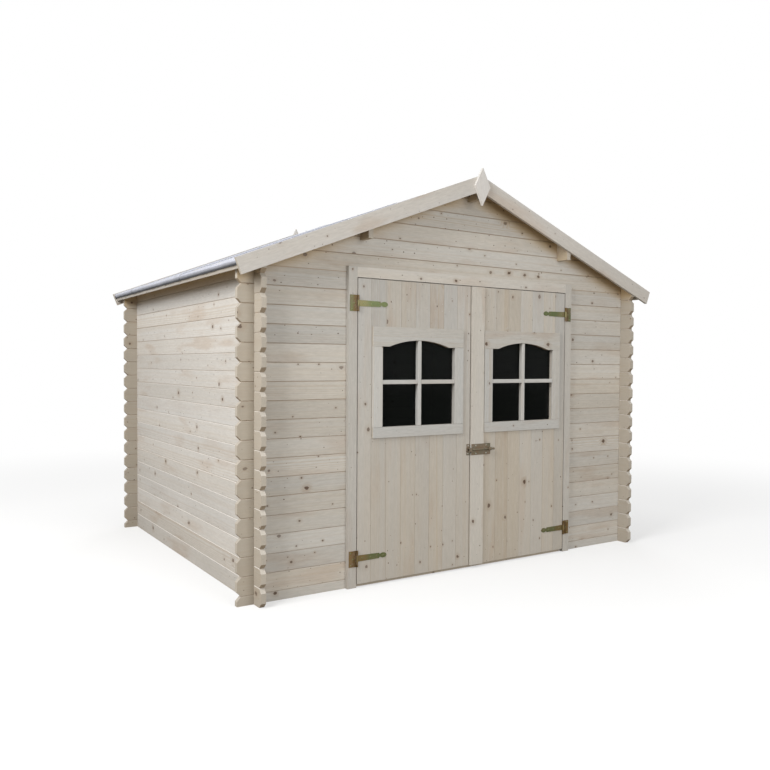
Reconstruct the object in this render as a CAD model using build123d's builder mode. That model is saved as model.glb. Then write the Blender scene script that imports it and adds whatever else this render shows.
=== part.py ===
from build123d import *
import math
import os

# Garden shed of interlocking logs with a felted gable roof and a pair of glazed doors.
# Lengths are in millimetres. The front faces -Y, the ground is z = 0, the plan centre is the origin.

# Logs of the four walls
log_height = 100
log_thickness = 28
front_log_length = 2980
side_log_length = 2445
log_overhang = 92
end_chamfer = 24
groove_depth = 3
lap_clearance = 0.5

# Roof
roof_pitch = 21.5
eave_height = 1795
roof_board_thickness = 16
eave_overhang = 40
felt_thickness = 3
felt_lap = 60
felt_front_seam = -272
felt_back_seam = 680
felt_fold_height = 31
batten_thickness = 34
batten_clearance = 1
purlin_width = 30
purlin_depth = 118
purlin_offset = 756
purlin_clearance = 0.5

# Barge boards and finials
barge_width = 88
barge_thickness = 18
barge_lift = 3
barge_end = 8
finial_width = 113
finial_height = 223
finial_thickness = 17
finial_rise = 42

# Door frame
casing_width = 55
casing_proud = 24
casing_rise = 30
lining_thickness = 40
stop_overlap = 15
head_lining = 28
head_stop = 10

# Doors
door_gap = 5
leaf_gap = 5
door_bottom = 19
door_thickness = 18
ledge_thickness = 20
ledge_width = 90
ledge_clearance = 6
ledge_free_inset = 25
middle_ledge_drop = 35
brace_width = 80
strip_width = 96
strip_thickness = 12

# Window in each leaf, its heights measured down from the top of the leaf
left_window_inset = 124.5
right_window_gap = 4.5
window_stile = 116
sight_width = 512
sight_height = 492
sight_drop = 336
arch_rise = 38
shoulder_width = 46
trim_side = 64
trim_bottom = 61
trim_top = 73
trim_thickness = 12
glass_rebate = 12
glass_thickness = 4
glass_clearance = 1
inner_frame_width = 45

# T hinges
upper_hinge_drop = 138
lower_hinge_rise = 144
hinge_plate_height = 90
hinge_plate_width = 44
hinge_metal = 2.5
knuckle_radius = 6
knuckle_clearance = 0.5
pin_radius = 2.5
pin_clearance = 0.4
strap_length = 145
strap_width = 35
strap_end_width = 30
strap_neck = 18
strap_neck_length = 4
strap_tip_length = 44
strap_tip_width = 29

# Barrel bolt
bolt_drop = 101
bolt_plate_length = 148
bolt_plate_height = 68
bolt_metal = 2
bolt_radius = 6
bolt_clearance = 1
bolt_travel = 26
bolt_guide_width = 20
bolt_handle_length = 22
bolt_handle_radius = 5
keep_width = 24
keep_wall = 3

# Lines of the walls and the roof
wall_front = side_log_length / 2 - log_overhang
wall_side = front_log_length / 2 - log_overhang
slope = math.tan(math.radians(roof_pitch))
slope_sin = math.sin(math.radians(roof_pitch))
slope_cos = math.cos(math.radians(roof_pitch))
ridge_height = eave_height + wall_side * slope
side_rows = math.ceil(eave_height / log_height)
front_rows = math.floor(eave_height / log_height - 0.5)
gable_base = (front_rows + 0.5) * log_height
gable_rows = math.ceil((ridge_height - gable_base) / log_height)

roof_slope_length = front_log_length / 2 / slope_cos + eave_overhang
barge_length = roof_slope_length + barge_end

# Windows and leaves: each leaf is as wide as its window, the strip or stile beside it and the outer stile
leaf_inner = leaf_gap / 2
left_window_centre = -leaf_inner - left_window_inset - sight_width / 2
right_window_centre = leaf_inner + strip_width + right_window_gap + trim_side + sight_width / 2
leaf_outer = right_window_centre + sight_width / 2 + window_stile
post_gap = 2 * (leaf_outer + door_gap)

# Lines of the door frame
wall_end = post_gap / 2 - stop_overlap + lining_thickness
stop_line = post_gap / 2 - stop_overlap
casing_face = wall_front + casing_proud
casing_top = gable_base + casing_rise
door_top = gable_base - head_lining - door_gap
hinge_axis = post_gap / 2 - door_gap / 2
hinge_line = casing_face + knuckle_radius + knuckle_clearance
leaf_back = casing_face - door_thickness
ledge_outer = stop_line - ledge_clearance
ledge_inner = leaf_inner + ledge_free_inset

# Heights on the leaves
sight_top = door_top - sight_drop
sight_shoulder = sight_top - arch_rise
sight_bottom = sight_top - sight_height
upper_hinge_height = door_top - upper_hinge_drop
lower_hinge_height = door_bottom + lower_hinge_rise
middle_ledge_height = sight_bottom - trim_bottom - middle_ledge_drop - ledge_width / 2
bolt_height = sight_bottom - trim_bottom - bolt_drop

os.makedirs("parts", exist_ok=True)


# A point on the roof: distance down the slope, height square to the underside of the boards.
def roof_point(side, along, above):
    x = along * slope_cos + above * slope_sin
    z = ridge_height - along * slope_sin + above * slope_cos
    return (side * x, z)


def roof_apex(above):
    return (0, ridge_height + above / slope_cos)


# Outline of everything that lies under the roof boards, in the XZ plane.
def under_roof(half_width, low):
    edge = ridge_height - half_width * slope
    return [(-half_width, low), (half_width, low), (half_width, edge), (0, ridge_height), (-half_width, edge)]


# Points up and down a stack of logs in cross-section, with a V groove on both faces at each seam
def log_section(near, low, seams, high):
    far = near + log_thickness
    points = [(far, low)]
    for z in seams:
        points += [(far, z - groove_depth), (far - groove_depth, z), (far, z + groove_depth)]
    points += [(far, high), (near, high)]
    for z in reversed(seams):
        points += [(near, z + groove_depth), (near + groove_depth, z), (near, z - groove_depth)]
    return points + [(near, low)]


# Points round the same stack seen square to the wall: each log end is bevelled to half an octagon
def log_face(length, bottoms):
    half = length / 2
    right = []
    for low in bottoms:
        high = low + log_height
        right += [(half - end_chamfer, low), (half, low + end_chamfer), (half, high - end_chamfer)]
    right += [(half - end_chamfer, bottoms[-1] + log_height)]
    return right + [(-x, z) for x, z in reversed(right)]


# Notches for the crossing logs: each log keeps only its middle half in the corner
def lap_notches(corner, centres):
    with Locations(*[(end * corner, z) for end in (-1, 1) for z in centres]):
        Rectangle(log_thickness + 2 * lap_clearance, log_height / 2, mode=Mode.SUBTRACT)


side_bottoms = [row * log_height for row in range(side_rows)]
front_bottoms = [(row + 0.5) * log_height for row in range(-1, front_rows)]
gable_bottoms = [(front_rows + row + 0.5) * log_height for row in range(gable_rows)]
side_centres = [low + log_height / 2 for low in side_bottoms]
front_centres = [row * log_height for row in range(front_rows + 2)]
corner_x = wall_side - log_thickness / 2
corner_y = wall_front - log_thickness / 2


# Side walls, bevelled along the top by the slope of the roof
def side_wall(side):
    near = min(side * (wall_side - log_thickness), side * wall_side)
    with BuildPart() as wall:
        with BuildSketch(Plane.XZ):
            Polygon(*log_section(near, 0, side_bottoms[1:], side_rows * log_height), align=None)
            Polygon(*under_roof(wall_side + log_height, 0), align=None, mode=Mode.INTERSECT)
        extrude(amount=side_log_length / 2, both=True)
        with BuildSketch(Plane.YZ.offset(near)):
            Polygon(*log_face(side_log_length, side_bottoms), align=None)
            lap_notches(corner_y, front_centres)
        extrude(amount=log_thickness, mode=Mode.INTERSECT)
    return wall


left_wall = side_wall(-1)
left_wall.part.label = "left_wall"
export_step(left_wall.part, "parts/left_wall.step")

right_wall = side_wall(1)
right_wall.part.label = "right_wall"
export_step(right_wall.part, "parts/right_wall.step")


# Walls across the gable ends, from the half log on the ground up to the gable
def end_wall(end, low_x, high_x):
    near = min(end * (wall_front - log_thickness), end * wall_front)
    with BuildPart() as wall:
        with BuildSketch(Plane.YZ):
            Polygon(*log_section(near, 0, front_bottoms[1:], gable_base), align=None)
        extrude(amount=front_log_length / 2, both=True)
        with BuildSketch(Plane.XZ.offset(-near)):
            Polygon(*log_face(front_log_length, front_bottoms), align=None)
            with Locations(((low_x + high_x) / 2, gable_base / 2)):
                Rectangle(high_x - low_x, gable_base, mode=Mode.INTERSECT)
            lap_notches(corner_x, side_centres)
        extrude(amount=-log_thickness, mode=Mode.INTERSECT)
    return wall


def gable(end):
    near = min(end * (wall_front - log_thickness), end * wall_front)
    with BuildPart() as wall:
        with BuildSketch(Plane.YZ):
            Polygon(*log_section(near, gable_base, gable_bottoms[1:], gable_bottoms[-1] + log_height), align=None)
        extrude(amount=front_log_length / 2, both=True)
        with BuildSketch(Plane.XZ.offset(-near)):
            Polygon(*log_face(front_log_length, gable_bottoms), align=None)
            Polygon(*under_roof(front_log_length / 2, 0), align=None, mode=Mode.INTERSECT)
            lap_notches(corner_x, side_centres)
            for x in (-purlin_offset, 0, purlin_offset):
                with Locations((x, ridge_height - abs(x) * slope)):
                    Rectangle(purlin_width + 2 * purlin_clearance, 2 * purlin_depth, mode=Mode.SUBTRACT)
        extrude(amount=-log_thickness, mode=Mode.INTERSECT)
    return wall


back_wall = end_wall(1, -front_log_length / 2, front_log_length / 2)
back_wall.part.label = "back_wall"
export_step(back_wall.part, "parts/back_wall.step")

front_wall_left = end_wall(-1, -front_log_length / 2, -wall_end)
front_wall_left.part.label = "front_wall_left"
export_step(front_wall_left.part, "parts/front_wall_left.step")

front_wall_right = end_wall(-1, wall_end, front_log_length / 2)
front_wall_right.part.label = "front_wall_right"
export_step(front_wall_right.part, "parts/front_wall_right.step")

back_gable = gable(1)
back_gable.part.label = "back_gable"
export_step(back_gable.part, "parts/back_gable.step")

front_gable = gable(-1)
front_gable.part.label = "front_gable"
export_step(front_gable.part, "parts/front_gable.step")


# Purlins, their tops bevelled to the roof
def purlin(x):
    low = ridge_height - abs(x) * slope - purlin_depth
    with BuildPart() as beam:
        with BuildSketch(Plane.XZ):
            with Locations((x, low)):
                Rectangle(purlin_width, 2 * purlin_depth, align=(Align.CENTER, Align.MIN))
            Polygon(*under_roof(front_log_length / 2, 0), align=None, mode=Mode.INTERSECT)
        extrude(amount=side_log_length / 2, both=True)
    return beam


ridge_purlin = purlin(0)
ridge_purlin.part.label = "ridge_purlin"
export_step(ridge_purlin.part, "parts/ridge_purlin.step")

left_purlin = purlin(-purlin_offset)
left_purlin.part.label = "left_purlin"
export_step(left_purlin.part, "parts/left_purlin.step")

right_purlin = purlin(purlin_offset)
right_purlin.part.label = "right_purlin"
export_step(right_purlin.part, "parts/right_purlin.step")


# Roof boards, mitred together at the ridge
def roof_boards(side):
    with BuildPart() as boards:
        with BuildSketch(Plane.XZ):
            Polygon(
                roof_point(side, 0, 0), roof_point(side, roof_slope_length, 0),
                roof_point(side, roof_slope_length, roof_board_thickness), roof_apex(roof_board_thickness),
                align=None)
        extrude(amount=side_log_length / 2, both=True)
    return boards


left_roof_boards = roof_boards(-1)
left_roof_boards.part.label = "left_roof_boards"
export_step(left_roof_boards.part, "parts/left_roof_boards.step")

right_roof_boards = roof_boards(1)
right_roof_boards.part.label = "right_roof_boards"
export_step(right_roof_boards.part, "parts/right_roof_boards.step")


# Battens under the ends of the roof boards, just clear of the log ends
def eave_batten(side):
    start = (front_log_length / 2 + batten_clearance + batten_thickness * slope_sin) / slope_cos
    with BuildPart() as batten:
        with BuildSketch(Plane.XZ):
            Polygon(
                roof_point(side, start, -batten_thickness), roof_point(side, roof_slope_length, -batten_thickness),
                roof_point(side, roof_slope_length, 0), roof_point(side, start, 0),
                align=None)
        extrude(amount=side_log_length / 2, both=True)
    return batten


left_eave_batten = eave_batten(-1)
left_eave_batten.part.label = "left_eave_batten"
export_step(left_eave_batten.part, "parts/left_eave_batten.step")

right_eave_batten = eave_batten(1)
right_eave_batten.part.label = "right_eave_batten"
export_step(right_eave_batten.part, "parts/right_eave_batten.step")


# Felt: three widths laid from eave to eave, folded down over the ends of the boards
def felt_outline(layer):
    low = roof_board_thickness + layer * felt_thickness
    high = low + felt_thickness
    end = roof_slope_length + layer * felt_thickness
    outer = end + felt_thickness
    fold = roof_board_thickness - felt_fold_height
    right = [
        roof_point(1, end, low), roof_point(1, end, fold),
        roof_point(1, outer, fold), roof_point(1, outer, high)]
    left = [(-x, z) for x, z in reversed(right)]
    return [roof_apex(low), *right, roof_apex(high), *left]


def felt(front, back, lap_front, lap_back):
    with BuildPart() as sheet:
        with BuildSketch(Plane.XZ.offset(-front)):
            Polygon(*felt_outline(0), align=None)
        extrude(amount=front - back)
        if lap_front:
            with BuildSketch(Plane.XZ.offset(felt_lap - front)):
                Polygon(*felt_outline(1), align=None)
            extrude(amount=-felt_lap - felt_thickness)
        if lap_back:
            with BuildSketch(Plane.XZ.offset(felt_thickness - back)):
                Polygon(*felt_outline(1), align=None)
            extrude(amount=-felt_lap - felt_thickness)
    return sheet


front_felt = felt(-side_log_length / 2, felt_front_seam, False, False)
front_felt.part.label = "front_felt"
export_step(front_felt.part, "parts/front_felt.step")

middle_felt = felt(felt_front_seam, felt_back_seam, True, True)
middle_felt.part.label = "middle_felt"
export_step(middle_felt.part, "parts/middle_felt.step")

back_felt = felt(felt_back_seam, side_log_length / 2, False, False)
back_felt.part.label = "back_felt"
export_step(back_felt.part, "parts/back_felt.step")

# Barge boards, mitred at the ridge and cut square at the eaves
barge_top = roof_board_thickness + felt_thickness + barge_lift
barge_low = barge_top - barge_width


def barge_board(side, end):
    near = min(end * side_log_length / 2, end * (side_log_length / 2 + barge_thickness))
    with BuildPart() as board:
        with BuildSketch(Plane.XZ.offset(-near)):
            Polygon(
                roof_apex(barge_top), roof_point(side, barge_length, barge_top),
                roof_point(side, barge_length, barge_low), roof_apex(barge_low),
                align=None)
        extrude(amount=-barge_thickness)
    return board


front_barge_left = barge_board(-1, -1)
front_barge_left.part.label = "front_barge_left"
export_step(front_barge_left.part, "parts/front_barge_left.step")

front_barge_right = barge_board(1, -1)
front_barge_right.part.label = "front_barge_right"
export_step(front_barge_right.part, "parts/front_barge_right.step")

back_barge_left = barge_board(-1, 1)
back_barge_left.part.label = "back_barge_left"
export_step(back_barge_left.part, "parts/back_barge_left.step")

back_barge_right = barge_board(1, 1)
back_barge_right.part.label = "back_barge_right"
export_step(back_barge_right.part, "parts/back_barge_right.step")


# Diamond finials over the mitres of the barge boards
def finial(end):
    barge_face = side_log_length / 2 + barge_thickness
    near = min(end * barge_face, end * (barge_face + finial_thickness))
    tip = roof_apex(barge_top)[1] + finial_rise
    middle = tip - finial_height / 2
    with BuildPart() as diamond:
        with BuildSketch(Plane.XZ.offset(-near)):
            Polygon(
                (0, tip), (finial_width / 2, middle), (0, tip - finial_height), (-finial_width / 2, middle),
                align=None)
        extrude(amount=-finial_thickness)
    return diamond


front_finial = finial(-1)
front_finial.part.label = "front_finial"
export_step(front_finial.part, "parts/front_finial.step")

back_finial = finial(1)
back_finial.part.label = "back_finial"
export_step(back_finial.part, "parts/back_finial.step")


# Door frame: rebated jambs and head lap the cut ends of the logs, with a stop behind the leaves
def jamb(side):
    with BuildPart() as post:
        with BuildSketch(Plane.XY):
            with Locations((side * (post_gap / 2 + casing_width / 2), -wall_front - casing_proud / 2)):
                Rectangle(casing_width, casing_proud)
        extrude(amount=casing_top)
        with BuildSketch(Plane.XY):
            with Locations((side * (stop_line + lining_thickness / 2), -wall_front + log_thickness / 2)):
                Rectangle(lining_thickness, log_thickness)
        extrude(amount=gable_base)
    return post


left_jamb = jamb(-1)
left_jamb.part.label = "left_jamb"
export_step(left_jamb.part, "parts/left_jamb.step")

right_jamb = jamb(1)
right_jamb.part.label = "right_jamb"
export_step(right_jamb.part, "parts/right_jamb.step")

with BuildPart() as door_head:
    with BuildSketch(Plane.YZ):
        with Locations((-wall_front - casing_proud / 2, (door_top + door_gap + casing_top) / 2)):
            Rectangle(casing_proud, casing_top - door_top - door_gap)
    extrude(amount=post_gap / 2, both=True)
    with BuildSketch(Plane.YZ):
        with Locations((-wall_front + log_thickness / 2, (door_top - head_stop + gable_base) / 2)):
            Rectangle(log_thickness, gable_base - door_top + head_stop)
    extrude(amount=stop_line, both=True)
door_head.part.label = "door_head"
export_step(door_head.part, "parts/door_head.step")

with BuildPart() as threshold:
    with BuildSketch(Plane.YZ):
        with Locations((-wall_front + log_thickness / 2, log_height / 4)):
            Rectangle(log_thickness, log_height / 2)
    extrude(amount=stop_line, both=True)
threshold.part.label = "threshold"
export_step(threshold.part, "parts/threshold.step")


# Planks of a leaf, cut through for the window: straight sides, short shoulders and a low arch
def door_boards(side, window_centre):
    left_side = window_centre - sight_width / 2
    right_side = window_centre + sight_width / 2
    left_shoulder = left_side + shoulder_width
    right_shoulder = right_side - shoulder_width
    with BuildPart() as leaf:
        with BuildSketch(Plane.XZ.offset(casing_face)):
            with Locations((side * (leaf_outer + leaf_inner) / 2, (door_bottom + door_top) / 2)):
                Rectangle(leaf_outer - leaf_inner, door_top - door_bottom)
            with BuildLine():
                Polyline(
                    (left_shoulder, sight_shoulder), (left_side, sight_shoulder), (left_side, sight_bottom),
                    (right_side, sight_bottom), (right_side, sight_shoulder), (right_shoulder, sight_shoulder))
                ThreePointArc(
                    (right_shoulder, sight_shoulder), (window_centre, sight_top), (left_shoulder, sight_shoulder))
            make_face(mode=Mode.SUBTRACT)
        extrude(amount=-door_thickness)
    return leaf


# Ledges across the inside of a leaf, with a brace that rises away from the lower hinge
def door_ledges(side):
    middle = side * (ledge_outer + ledge_inner) / 2
    width = ledge_outer - ledge_inner
    brace_low = lower_hinge_height + ledge_width / 2
    brace_high = middle_ledge_height - ledge_width / 2
    with BuildPart() as ledges:
        with BuildSketch(Plane.XZ.offset(leaf_back)):
            for height in (lower_hinge_height, middle_ledge_height, upper_hinge_height):
                with Locations((middle, height)):
                    Rectangle(width, ledge_width)
            Polygon(
                (side * ledge_outer, brace_low), (side * (ledge_outer - brace_width), brace_low),
                (side * ledge_inner, brace_high), (side * (ledge_inner + brace_width), brace_high),
                align=None)
        extrude(amount=-ledge_thickness)
    return ledges


# Trim around the window, on the face of the leaf, with the same arched outline
def window_trim(window_centre):
    low = sight_bottom - trim_bottom
    high = sight_top + trim_top
    left_side = window_centre - sight_width / 2
    right_side = window_centre + sight_width / 2
    left_shoulder = left_side + shoulder_width
    right_shoulder = right_side - shoulder_width
    with BuildPart() as trim:
        with BuildSketch(Plane.XZ.offset(casing_face)):
            with Locations((window_centre, (low + high) / 2)):
                Rectangle(sight_width + 2 * trim_side, high - low)
            with BuildLine():
                Polyline(
                    (left_shoulder, sight_shoulder), (left_side, sight_shoulder), (left_side, sight_bottom),
                    (right_side, sight_bottom), (right_side, sight_shoulder), (right_shoulder, sight_shoulder))
                ThreePointArc(
                    (right_shoulder, sight_shoulder), (window_centre, sight_top), (left_shoulder, sight_shoulder))
            make_face(mode=Mode.SUBTRACT)
        extrude(amount=trim_thickness)
    return trim


def window_glass(window_centre):
    with BuildPart() as pane:
        with BuildSketch(Plane.XZ.offset(leaf_back)):
            with Locations((window_centre, (sight_bottom + sight_top) / 2)):
                Rectangle(sight_width + 2 * glass_rebate, sight_height + 2 * glass_rebate)
        extrude(amount=-glass_thickness)
    return pane


# Rebated frame that holds the glass against the planks from the inside
def window_frame(window_centre):
    rebate = glass_rebate + glass_clearance
    with BuildPart() as frame:
        with BuildSketch(Plane.XZ.offset(leaf_back)):
            with Locations((window_centre, (sight_bottom + sight_top) / 2)):
                Rectangle(sight_width + 2 * inner_frame_width, sight_height + 2 * inner_frame_width)
                Rectangle(sight_width, sight_height, mode=Mode.SUBTRACT)
        extrude(amount=-ledge_thickness)
        with BuildSketch(Plane.XZ.offset(leaf_back)):
            with Locations((window_centre, (sight_bottom + sight_top) / 2)):
                Rectangle(sight_width + 2 * rebate, sight_height + 2 * rebate)
        extrude(amount=-glass_thickness, mode=Mode.SUBTRACT)
    return frame


left_door_boards = door_boards(-1, left_window_centre)
left_door_boards.part.label = "left_door_boards"
export_step(left_door_boards.part, "parts/left_door_boards.step")

right_door_boards = door_boards(1, right_window_centre)
right_door_boards.part.label = "right_door_boards"
export_step(right_door_boards.part, "parts/right_door_boards.step")

left_door_ledges = door_ledges(-1)
left_door_ledges.part.label = "left_door_ledges"
export_step(left_door_ledges.part, "parts/left_door_ledges.step")

right_door_ledges = door_ledges(1)
right_door_ledges.part.label = "right_door_ledges"
export_step(right_door_ledges.part, "parts/right_door_ledges.step")

left_window_trim = window_trim(left_window_centre)
left_window_trim.part.label = "left_window_trim"
export_step(left_window_trim.part, "parts/left_window_trim.step")

right_window_trim = window_trim(right_window_centre)
right_window_trim.part.label = "right_window_trim"
export_step(right_window_trim.part, "parts/right_window_trim.step")

left_window_glass = window_glass(left_window_centre)
left_window_glass.part.label = "left_window_glass"
export_step(left_window_glass.part, "parts/left_window_glass.step")

right_window_glass = window_glass(right_window_centre)
right_window_glass.part.label = "right_window_glass"
export_step(right_window_glass.part, "parts/right_window_glass.step")

left_window_frame = window_frame(left_window_centre)
left_window_frame.part.label = "left_window_frame"
export_step(left_window_frame.part, "parts/left_window_frame.step")

right_window_frame = window_frame(right_window_centre)
right_window_frame.part.label = "right_window_frame"
export_step(right_window_frame.part, "parts/right_window_frame.step")

# Cover strip down the meeting edge of the right leaf
with BuildPart() as cover_strip:
    with BuildSketch(Plane.XZ.offset(casing_face)):
        with Locations((leaf_inner + strip_width / 2, (door_bottom + door_top) / 2)):
            Rectangle(strip_width, door_top - door_bottom)
    extrude(amount=strip_thickness)
cover_strip.part.label = "cover_strip"
export_step(cover_strip.part, "parts/cover_strip.step")

# T hinges: the strap on the leaf has the middle knuckle, the plate on the post has the outer two
hinge_heights = (lower_hinge_height, upper_hinge_height)
half_strap = strap_width / 2
half_plate = hinge_plate_height / 2


def hinge_straps(side):
    root = side * hinge_axis
    end = side * (leaf_outer - strap_length)
    tip = side * (leaf_outer - strap_length - strap_neck_length - strap_tip_length / 2)
    half_end = strap_end_width / 2
    with BuildPart() as straps:
        for height in hinge_heights:
            with BuildSketch(Plane.XZ.offset(casing_face)):
                Polygon(
                    (root, height - half_strap), (end, height - half_end), (end, height + half_end),
                    (root, height + half_strap), align=None)
                with Locations((tip, height)):
                    Ellipse(strap_tip_length / 2, strap_tip_width / 2)
                with Locations(((end + tip) / 2, height)):
                    Rectangle(abs(end - tip), strap_neck)
            extrude(amount=hinge_metal)
            with BuildSketch(Plane.XY.offset(height - half_strap)):
                with Locations((root, -hinge_line)):
                    Circle(knuckle_radius)
            extrude(amount=strap_width)
            with BuildSketch(Plane.XY.offset(height - half_strap)):
                with Locations((root, -hinge_line)):
                    Circle(pin_radius + pin_clearance)
            extrude(amount=strap_width, mode=Mode.SUBTRACT)
    return straps


def hinge_plates(side):
    plate_edge = hinge_axis + knuckle_radius + knuckle_clearance
    outer_knuckle = half_plate - half_strap - knuckle_clearance
    with BuildPart() as plates:
        for height in hinge_heights:
            with BuildSketch(Plane.XZ.offset(casing_face)):
                with Locations((side * (plate_edge + hinge_plate_width / 2), height)):
                    Rectangle(hinge_plate_width, hinge_plate_height)
                for end in (-1, 1):
                    centre = height + end * (half_plate - outer_knuckle / 2)
                    with Locations((side * (hinge_axis + plate_edge) / 2, centre)):
                        Rectangle(plate_edge - hinge_axis, outer_knuckle)
            extrude(amount=hinge_metal)
            for low in (height - half_plate, height + half_plate - outer_knuckle):
                with BuildSketch(Plane.XY.offset(low)):
                    with Locations((side * hinge_axis, -hinge_line)):
                        Circle(knuckle_radius)
                extrude(amount=outer_knuckle)
            with BuildSketch(Plane.XY.offset(height - half_plate)):
                with Locations((side * hinge_axis, -hinge_line)):
                    Circle(pin_radius)
            extrude(amount=hinge_plate_height)
    return plates


left_hinge_straps = hinge_straps(-1)
left_hinge_straps.part.label = "left_hinge_straps"
export_step(left_hinge_straps.part, "parts/left_hinge_straps.step")

right_hinge_straps = hinge_straps(1)
right_hinge_straps.part.label = "right_hinge_straps"
export_step(right_hinge_straps.part, "parts/right_hinge_straps.step")

left_hinge_plates = hinge_plates(-1)
left_hinge_plates.part.label = "left_hinge_plates"
export_step(left_hinge_plates.part, "parts/left_hinge_plates.step")

right_hinge_plates = hinge_plates(1)
right_hinge_plates.part.label = "right_hinge_plates"
export_step(right_hinge_plates.part, "parts/right_hinge_plates.step")

# Barrel bolt on the cover strip, drawn clear of its keep on the left leaf
bolt_face = casing_face + strip_thickness
bolt_line = bolt_face + bolt_metal + bolt_clearance + bolt_radius
bolt_start = leaf_inner
bolt_end = bolt_start + bolt_plate_length
bore = bolt_radius + bolt_clearance

with BuildPart() as bolt_plate:
    with BuildSketch(Plane.XZ.offset(bolt_face)):
        with Locations(((bolt_start + bolt_end) / 2, bolt_height)):
            Rectangle(bolt_plate_length, bolt_plate_height)
    extrude(amount=bolt_metal)
    for low in (bolt_start, bolt_end - bolt_guide_width):
        with BuildSketch(Plane.YZ.offset(low)):
            with Locations((-bolt_line, bolt_height)):
                Circle(bore + bolt_metal)
            with Locations((-(bolt_face + bolt_line) / 2, bolt_height)):
                Rectangle(bolt_line - bolt_face, 2 * (bore + bolt_metal))
            with Locations((-bolt_line, bolt_height)):
                Circle(bore, mode=Mode.SUBTRACT)
        extrude(amount=bolt_guide_width)
bolt_plate.part.label = "bolt_plate"
export_step(bolt_plate.part, "parts/bolt_plate.step")

bolt_tail = bolt_end + bolt_travel
handle_spot = bolt_end - bolt_guide_width - bolt_handle_radius - bolt_clearance - bolt_metal

with BuildPart() as bolt_rod:
    with BuildSketch(Plane.YZ.offset(bolt_start)):
        with Locations((-bolt_line, bolt_height)):
            Circle(bolt_radius)
    extrude(amount=bolt_tail - bolt_start)
    with BuildSketch(Plane.XZ.offset(bolt_line)):
        with Locations((handle_spot, bolt_height)):
            Circle(bolt_handle_radius)
    extrude(amount=bolt_handle_length)
bolt_rod.part.label = "bolt_rod"
export_step(bolt_rod.part, "parts/bolt_rod.step")

keep_outer = bore + keep_wall
with BuildPart() as bolt_keep:
    with BuildSketch(Plane.YZ.offset(-leaf_inner - keep_width)):
        with Locations((-casing_face - bolt_metal / 2, bolt_height)):
            Rectangle(bolt_metal, bolt_plate_height)
        with Locations((-(casing_face + bolt_line + keep_outer) / 2, bolt_height)):
            Rectangle(bolt_line + keep_outer - casing_face, 2 * keep_outer)
        with Locations((-bolt_line, bolt_height)):
            Rectangle(2 * bore, 2 * bore, mode=Mode.SUBTRACT)
    extrude(amount=keep_width)
bolt_keep.part.label = "bolt_keep"
export_step(bolt_keep.part, "parts/bolt_keep.step")
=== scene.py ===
import math

import bmesh
import bpy
from bpy.props import FloatProperty, FloatVectorProperty, PointerProperty
from mathutils import Matrix, Vector
from mathutils.bvhtree import BVHTree


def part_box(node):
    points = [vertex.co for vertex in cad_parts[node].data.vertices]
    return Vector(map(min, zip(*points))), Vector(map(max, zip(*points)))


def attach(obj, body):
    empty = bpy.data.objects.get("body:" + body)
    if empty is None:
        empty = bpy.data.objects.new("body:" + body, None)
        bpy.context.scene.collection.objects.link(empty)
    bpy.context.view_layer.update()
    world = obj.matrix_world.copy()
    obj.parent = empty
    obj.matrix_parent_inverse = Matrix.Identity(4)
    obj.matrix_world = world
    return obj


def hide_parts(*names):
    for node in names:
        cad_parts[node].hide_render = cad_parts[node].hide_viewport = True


bl_info = {
    "name": "Log shed finish",
    "version": (1, 0, 0),
    "blender": (4, 5, 0),
    "location": "View3D > Sidebar > Shed",
    "description": "Boards, window bars, fasteners, finishes and stage for a log garden shed",
    "category": "Object",
}

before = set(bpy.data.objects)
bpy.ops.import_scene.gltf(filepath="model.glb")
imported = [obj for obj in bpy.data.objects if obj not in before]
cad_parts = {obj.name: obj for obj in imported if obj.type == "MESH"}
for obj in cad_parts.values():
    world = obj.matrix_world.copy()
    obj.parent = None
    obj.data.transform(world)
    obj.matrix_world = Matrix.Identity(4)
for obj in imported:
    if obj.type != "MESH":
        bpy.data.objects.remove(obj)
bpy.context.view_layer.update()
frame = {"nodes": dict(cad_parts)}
nodes = frame["nodes"]

X = Vector((1, 0, 0))
Y = Vector((0, 1, 0))
Z = Vector((0, 0, 1))
SIDES = {"left": -1, "right": 1}

# Places of the screws, in metres: the middle line of a strap from its edge, then along a strap from its tip,
# over a plate from its outer edge and middle line, and in from the edges of the bolt's plates
STRAP_HALF = 0.0175
STRAP_SCREWS = (0.022, 0.065, 0.108, 0.160)
PLATE_SCREWS = ((0.011, 0.034), (0.026, 0.0), (0.011, -0.034))
BOLT_SCREW_INSET = (0.034, 0.010)

# Rise of the heads over what they fasten
SCREW_HEIGHT = 0.0014
NAIL_HEIGHT = 0.0006
CLOUT_HEIGHT = 0.0016

# Gaps between pieces that would otherwise share a face
JOINT_GAP = 0.0002
BAR_GAP = 0.0003

# The photograph's camera: turn, tilt and roll in degrees, place in metres, lens and sensor in millimetres
CAMERA_TURN = (32.7, -1.527, 0.346)
CAMERA_PLACE = (-2.9555, -4.7976, 1.2416)
CAMERA_LENS = 35.86
SENSOR_WIDTH = 36

WHITE = (1, 1, 1)


def length(label, about, default):
    return FloatProperty(name=label, description=about, default=default, unit="LENGTH")


def colour(label, about, default):
    return FloatVectorProperty(
        name=label, description=about, subtype="COLOR", size=3, min=0, max=1, default=default)


def power(label, about, default):
    return FloatProperty(name=label, description=about, default=default, min=0, unit="POWER")


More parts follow.
